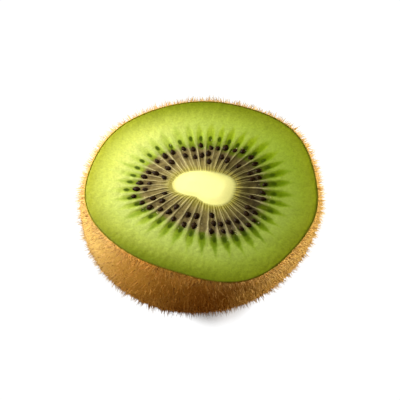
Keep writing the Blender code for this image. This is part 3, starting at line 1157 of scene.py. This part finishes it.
def tuft_hairs(shape, tufts, each, mean_length, spread, near_cut, number):
    """Roots and tips of hairs that grow in tufts, with the outward directions there.

    A hair starts near its tuft's middle and runs 0.7 to 1.05 of the way to a point that its tuft shares:
    root + reach * (outward + lean), where the lean is by chance, by soft swirls and a little up at the cut.
    """
    random = np.random.default_rng(number)
    root, out, side, rise = skin_spots(shape, tufts, near_cut, random)
    reach = np.minimum(mean_length * random.lognormal(0, 0.18, (tufts, 1)), LONGEST_HAIR)
    by_cut = np.exp(-((shape.height - root[:, 2:]) / (1.5 * MM)))
    swirl = 0.3 * ripples(root, 9 * MM, 51)[:, None]
    lean = side * (random.normal(0, 0.22, (tufts, 1)) + swirl)
    lean = lean + rise * (random.normal(0, 0.22, (tufts, 1)) - 0.12 + 0.1 * by_cut)
    apex = root + reach * (out + lean)

    count = tufts * each
    own = np.repeat(np.arange(tufts), each)
    offset = random.normal(0, spread, (2, count, 1))
    start = root[own] + offset[0] * side[own] + offset[1] * rise[own] - 0.04 * MM * out[own]
    start[:, 2] = np.minimum(start[:, 2], shape.height - 0.1 * MM)
    aim = apex[own] + random.normal(0, 0.05, (count, 3)) * reach[own]
    along = (aim - start) * random.uniform(0.7, 1.05, (count, 1))
    tip = start + along
    tip[:, 2] = np.minimum(tip[:, 2], shape.height + TIPS_ABOVE_CUT)
    return start, tip, out[own], random


def hair_mesh(start, tip, out, thick, random):
    """Three-sided straight hairs: root + thickness / 2 * (cos, sin) across the hair, and a point at the tip.

    They are lit much as the skin under them is, because their normals lean to its outward direction.
    """
    count = len(start)
    axis = unit(tip - start)
    first = unit(np.cross(axis, random.normal(size=(count, 3))))
    second = np.cross(axis, first)
    width = thick / 2 * random.uniform(0.7, 1.2, (count, 1, 1))
    angle = turns(3)[None, :, None]
    ring = np.cos(angle) * first[:, None] + np.sin(angle) * second[:, None]
    points = np.concatenate([start[:, None] + width * ring, tip[:, None]], 1)
    normals = np.concatenate([0.4 * out[:, None] + ring, out[:, None]], 1)
    normals = unit(normals + random.normal(0, 0.1, (count, 1, 3)))
    points[..., 2] = np.maximum(points[..., 2], 0.01 * MM)
    base = (np.arange(count) * 4)[:, None, None]
    faces = np.array([[0, 1, 3], [1, 2, 3], [2, 0, 3], [2, 1, 0]]) + base
    tone = np.repeat(random.beta(1.5, 1.1, count), 4)
    along = np.tile([0.0, 0.0, 0.0, 1.0], count)
    attributes = {"tone": tone, "along": along}
    return points.reshape(-1, 3), [faces.reshape(-1, 3)], attributes, normals.reshape(-1, 3)


# ---------------------------------------------------------------- operators


class KIWI_OT_flesh(bpy.types.Operator):
    """The cut flesh, with its walls and seed chambers, down inside the skin"""

    bl_idname = "kiwi.flesh"
    bl_label = "Cut flesh"

    def execute(self, context):
        shape, seeds = context.scene.kiwi_shape, context.scene.kiwi_seeds
        columns = shape.chambers * COLUMNS_PER_CHAMBER
        points, faces, uv, flat, rings_below = flesh_shape(shape, columns)
        shades = {
            "halo": spots(shape, flat, *seed_places(shape, seeds), 1.2 * MM, 0.85 * MM),
            "buried": spots(shape, flat, *buried_places(shape), 0.8 * MM, 0.46 * MM),
        }
        # The shades stand on the cut only: 0 on the rings below it, the well's ring and the two end points.
        others = (rings_below * columns, columns + 2)
        shades = {label: np.pad(values.ravel(), others) for label, values in shades.items()}
        points = placed(shape, points)
        piece = make_piece("cut_flesh", points, faces, cut_material(context), uv, shades)
        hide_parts(NODE)
        return {"FINISHED"}


class KIWI_OT_core(bpy.types.Operator):
    """The pale core, a plug with a low crown"""

    bl_idname = "kiwi.core"
    bl_label = "Core"

    def execute(self, context):
        shape = context.scene.kiwi_shape
        points, faces, uv = core_shape(shape, shape.chambers * COLUMNS_PER_CHAMBER)
        make_piece("core", placed(shape, points), faces, cut_material(context), uv)
        return {"FINISHED"}


class KIWI_OT_seeds(bpy.types.Operator):
    """The seeds, half sunk in their chambers"""

    bl_idname = "kiwi.seeds"
    bl_label = "Seeds"

    def execute(self, context):
        shape, seeds = context.scene.kiwi_shape, context.scene.kiwi_seeds
        points, faces = seed_shapes(shape, seeds)
        make_piece("seeds", placed(shape, points), faces, seed_finish(seeds))
        return {"FINISHED"}


class KIWI_OT_skin(bpy.types.Operator):
    """The thin brown skin, a closed shell with a rounded lip"""

    bl_idname = "kiwi.skin"
    bl_label = "Skin"

    def execute(self, context):
        shape = context.scene.kiwi_shape
        points, faces, uv = skin_shell(shape)
        material = skin_finish(shape, context.scene.kiwi_skin)
        make_piece("skin", placed(shape, points), faces, material, uv)
        return {"FINISHED"}


class KIWI_OT_scar(bpy.types.Operator):
    """The stem scar's woody button, with a pit where the stalk was"""

    bl_idname = "kiwi.scar"
    bl_label = "Stem scar"

    def execute(self, context):
        shape = context.scene.kiwi_shape
        points, faces, uv = scar_shape(shape)
        material = scar_finish(context.scene.kiwi_skin)
        make_piece("stem_scar", placed(shape, points), faces, material, uv)
        return {"FINISHED"}


class KIWI_OT_down(bpy.types.Operator):
    """The skin's down: dense short hairs, longer ones, and a fringe just below the cut"""

    bl_idname = "kiwi.down"
    bl_label = "Down"

    def execute(self, context):
        shape, look = context.scene.kiwi_shape, context.scene.kiwi_skin
        material = down_finish(shape, look)
        # Name, tufts, hairs in each, their length, the tuft's spread, how far down it grows (0 is all over),
        # stoutness, and the number that chance starts from.
        coats = (
            ("down_short", look.short_tufts, 4, look.short, 0.15 * MM, 0.0, 1.0, 71),
            ("down_long", look.long_tufts, 1, look.long, 0.02 * MM, 0.0, 3.2, 72),
            ("down_edge", look.edge_tufts, 4, 0.7 * look.short, 0.15 * MM, 1.0 * MM, 1.0, 73),
            ("down_fringe", look.fringe_tufts, 1, look.long, 0.02 * MM, 1.6 * MM, 3.2, 74),
        )
        for name, tufts, each, reach, spread, near_cut, stout, number in coats:
            *hairs, random = tuft_hairs(shape, tufts, each, reach, spread, near_cut, number)
            points, *details = hair_mesh(*hairs, stout * look.thick, random)
            faces, attributes, normals = details
            points = placed(shape, points)
            piece = make_piece(name, points, faces, material, None, attributes, normals)
            piece.visible_shadow = False
        return {"FINISHED"}


class KIWI_OT_stage(bpy.types.Operator):
    """White paper, five soft lights round the fruit and the camera"""

    bl_idname = "kiwi.stage"
    bl_label = "Stage"

    def execute(self, context):
        scene, stage = context.scene, context.scene.kiwi_stage
        aim = np.array([stage.aim_x, stage.aim_y, FRAME_LOW.z + scene.kiwi_shape.height])
        make_floor(stage)
        make_camera(stage, aim)
        cut, belly_middle = (0.0, 0.0, float(aim[2])), (0.0, 0.0, 0.018)
        lights = (
            ("key", (-0.072, 0.034, 0.087), cut, 0.06, (1.0, 0.98, 0.95)),
            ("left", (-0.158, -0.02, 0.034), belly_middle, 0.08, (0.88, 1.0, 1.0)),
            ("right", (0.16, 0.024, 0.024), belly_middle, 0.08, (0.96, 0.97, 0.76)),
            ("back", (0.03, 0.2, 0.05), belly_middle, 0.14, (0.84, 1.0, 0.8)),
            ("front", (-0.03, -0.26, 0.05), belly_middle, 0.2, (1.0, 0.52, 0.09)),
        )
        for name, place, target, size, tint in lights:
            add_light(name, place, target, size, getattr(stage, name), tint)
        make_world(scene)
        scene.view_settings.view_transform = "Standard"
        return {"FINISHED"}


def cut_material(context):
    """The cut face's finish, made once for the flesh and the core."""
    made = bpy.data.materials.get("kiwi_cut_face")
    return made or cut_face_finish(context.scene.kiwi_shape, context.scene.kiwi_flesh)


def make_world(scene):
    """White all round, seen by the camera only."""
    world = bpy.data.worlds.new("white_room")
    scene.world = world
    world.use_nodes = True
    world.node_tree.nodes["Background"].inputs[0].default_value = (1.0, 1.0, 1.0, 1.0)
    world.cycles_visibility.diffuse = False
    world.cycles_visibility.glossy = False
    world.cycles_visibility.transmission = False


def make_floor(stage):
    """A plain white sheet that glows evenly, with a painted contact shadow where the fruit stands close over
    it, reaching further and lighter towards the right.
    """
    mesh = bpy.data.meshes.new("floor")
    half = 3.0
    corners = ((-half, -half), (half, -half), (half, half), (-half, half))
    mesh.from_pydata([(x, y, FRAME_LOW.z) for x, y in corners], [], [(0, 1, 2, 3)])
    floor = added("floor", mesh)
    f = Finish("white_paper")
    across, _, _ = f.split(f.object_place())
    # Painted contact shadow: ambient occlusion dims the glow near the fruit, reaching furthest a little right
    # of the middle, as if cast from the left.
    reach = f.math("ABSOLUTE", across - 6 * MM).smooth(14 * MM, 1.5 * MM, 4.5 * MM, 7.8 * MM)
    # The painted shadow's darkest colour, lighter towards the right.
    dark = f.mix(across.smooth(1 * MM, 8 * MM), (0.11, 0.08, 0.06), (0.5, 0.45, 0.41))
    near = f.add("ShaderNodeAmbientOcclusion", {"Distance": reach}, output="AO", samples=16)
    f.surface(
        Base_Color=(0.0, 0.0, 0.0),
        Roughness=1.0,
        Specular_IOR_Level=0.0,
        Emission_Color=f.mix(near.smooth(0.38, 0.86), dark, (1.0, 1.0, 1.0)),
        Emission_Strength=stage.paper,
    )
    mesh.materials.append(f.material)
    floor.visible_diffuse = False
    floor.visible_glossy = False


def make_camera(stage, aim):
    """A long lens, level along +Y, looking down at the aim."""
    camera = added("camera", bpy.data.cameras.new("camera"))
    back = np.array([0.0, -math.cos(stage.elevation), math.sin(stage.elevation)])
    camera.location = aim + stage.distance * back
    camera.rotation_euler = (math.pi / 2 - stage.elevation, 0.0, 0.0)
    camera.data.lens = stage.lens
    camera.data.sensor_width = 36.0
    camera.data.clip_start = 0.01
    bpy.context.scene.camera = camera


def add_light(name, place, aim, size, power, tint):
    """A square soft light at a place, turned to its aim, that isn't seen itself."""
    data = bpy.data.lights.new(name, "AREA")
    data.size = size
    data.energy = power
    data.color = tint
    light = added(name, data)
    light.location = place
    toward = np.array(aim) - np.array(place)
    light.rotation_euler = (
        math.atan2(math.hypot(toward[0], toward[1]), -toward[2]),
        0.0,
        math.atan2(toward[1], toward[0]) - math.pi / 2,
    )
    light.visible_camera = False
    light.visible_glossy = place[2] > 0.06  # the low lights fill in, without glare at a low view


class KIWI_PT_panel(bpy.types.Panel):
    """The fruit's pieces and their sizes"""

    bl_idname = "KIWI_PT_panel"
    bl_label = "Kiwi fruit half"
    bl_space_type = "VIEW_3D"
    bl_region_type = "UI"
    bl_category = "Kiwi"

    def draw(self, context):
        column = self.layout.column()
        for operator in OPERATORS:
            column.operator(operator.bl_idname)
        for name, group in GROUPS.items():
            column.label(text=group.__doc__)
            for key in group.__annotations__:
                column.prop(getattr(context.scene, name), key)


GROUPS = {
    "kiwi_shape": KiwiShape,
    "kiwi_flesh": KiwiFlesh,
    "kiwi_seeds": KiwiSeeds,
    "kiwi_skin": KiwiSkin,
    "kiwi_stage": KiwiStage,
}
OPERATORS = (
    KIWI_OT_flesh,
    KIWI_OT_core,
    KIWI_OT_seeds,
    KIWI_OT_skin,
    KIWI_OT_scar,
    KIWI_OT_down,
    KIWI_OT_stage,
)


def register():
    for cls in (*GROUPS.values(), *OPERATORS, KIWI_PT_panel):
        bpy.utils.register_class(cls)
    for name, group in GROUPS.items():
        setattr(bpy.types.Scene, name, PointerProperty(type=group))


def unregister():
    for name in GROUPS:
        delattr(bpy.types.Scene, name)
    for cls in (KIWI_PT_panel, *reversed(OPERATORS), *reversed(list(GROUPS.values()))):
        bpy.utils.unregister_class(cls)


def main():
    register()
    for operator in OPERATORS:
        getattr(bpy.ops.kiwi, operator.bl_idname.split(".")[1])()


if __name__ == "__main__":
    main()
